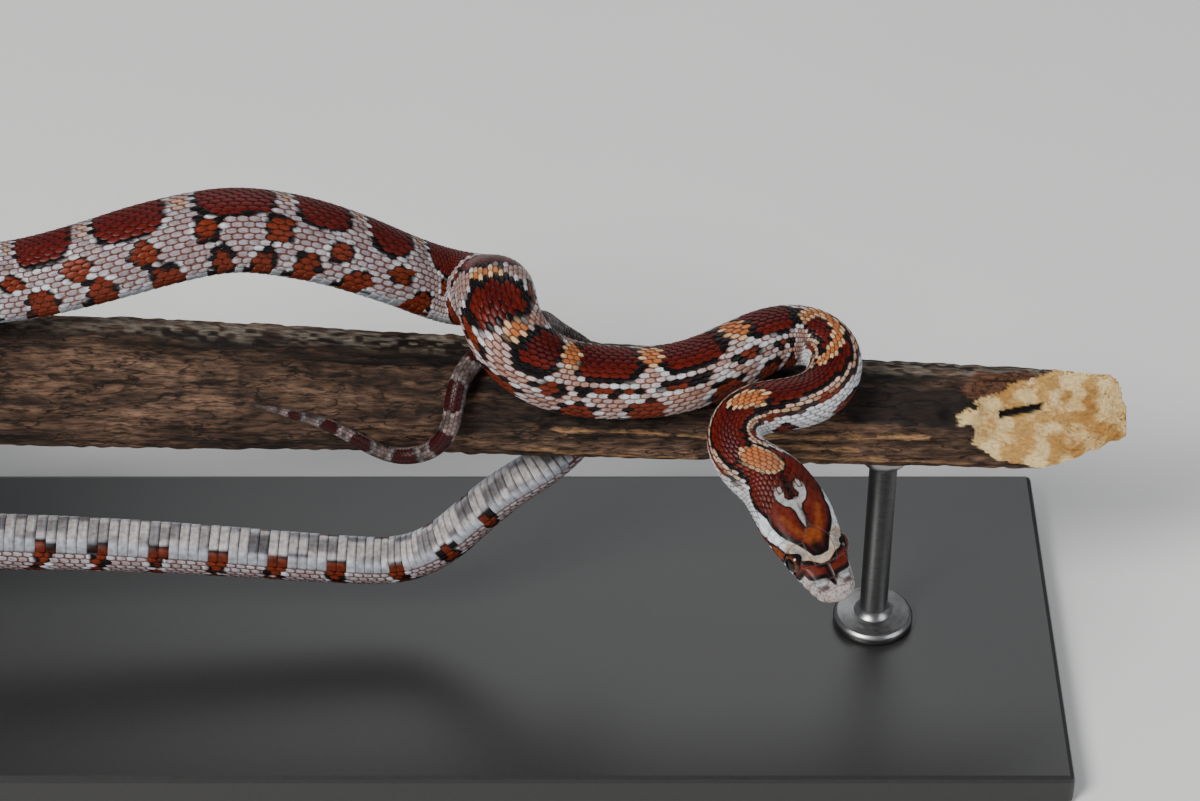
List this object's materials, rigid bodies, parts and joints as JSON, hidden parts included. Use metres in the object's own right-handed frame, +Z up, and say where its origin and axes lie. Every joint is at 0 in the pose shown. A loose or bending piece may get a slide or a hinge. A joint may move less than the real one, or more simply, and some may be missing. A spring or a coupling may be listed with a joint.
{
  "type": "corn snake model",
  "caption": "Life-size still model of a corn snake looped over a cut length of branch, held on a flat base by two short rods.",
  "frame": {"origin": "middle of the underside of the display base", "axes": "+X along the branch towards its broken end, +Y away from the side the head hangs over, +Z up"},
  "size_m": [0.3581, 0.1134, 0.1221],
  "materials": {
    "scales_red": "mahogany red head shields and saddles, semi-gloss keratin",
    "scales_grey": "pale grey scales with red saddles edged in black, semi-gloss keratin",
    "scales_tail": "dark maroon and grey tail scales, satin keratin",
    "eye": "orange-brown iris with a round black pupil under a clear spectacle",
    "bark": "weathered brown wood with a pale broken end",
    "stand_lacquer": "black satin lacquer",
    "stand_steel": "dark brushed steel"
  },
  "bodies": {
    "root": {"head": "scales_red", "eye_left": "eye", "eye_right": "eye", "neck": "scales_grey", "neck_bend": "scales_grey", "body_front": "scales_grey", "body_crossing": "scales_grey", "body_arch_right": "scales_grey", "body_arch_left": "scales_grey", "body_wrap_top": "scales_grey", "body_wrap_under": "scales_grey", "body_wrap_back": "scales_grey", "body_wrap_left": "scales_grey", "body_drop": "scales_grey", "body_swag_left": "scales_grey", "body_swag_right": "scales_grey", "body_rise": "scales_grey", "body_vent": "scales_grey", "tail_root": "scales_tail", "tail_crossing": "scales_tail", "tail_tip": "scales_tail", "branch": "bark", "stand_base": "stand_lacquer", "stand_rod_left": "stand_steel", "stand_rod_right": "stand_steel"}
  },
  "joints": []
}
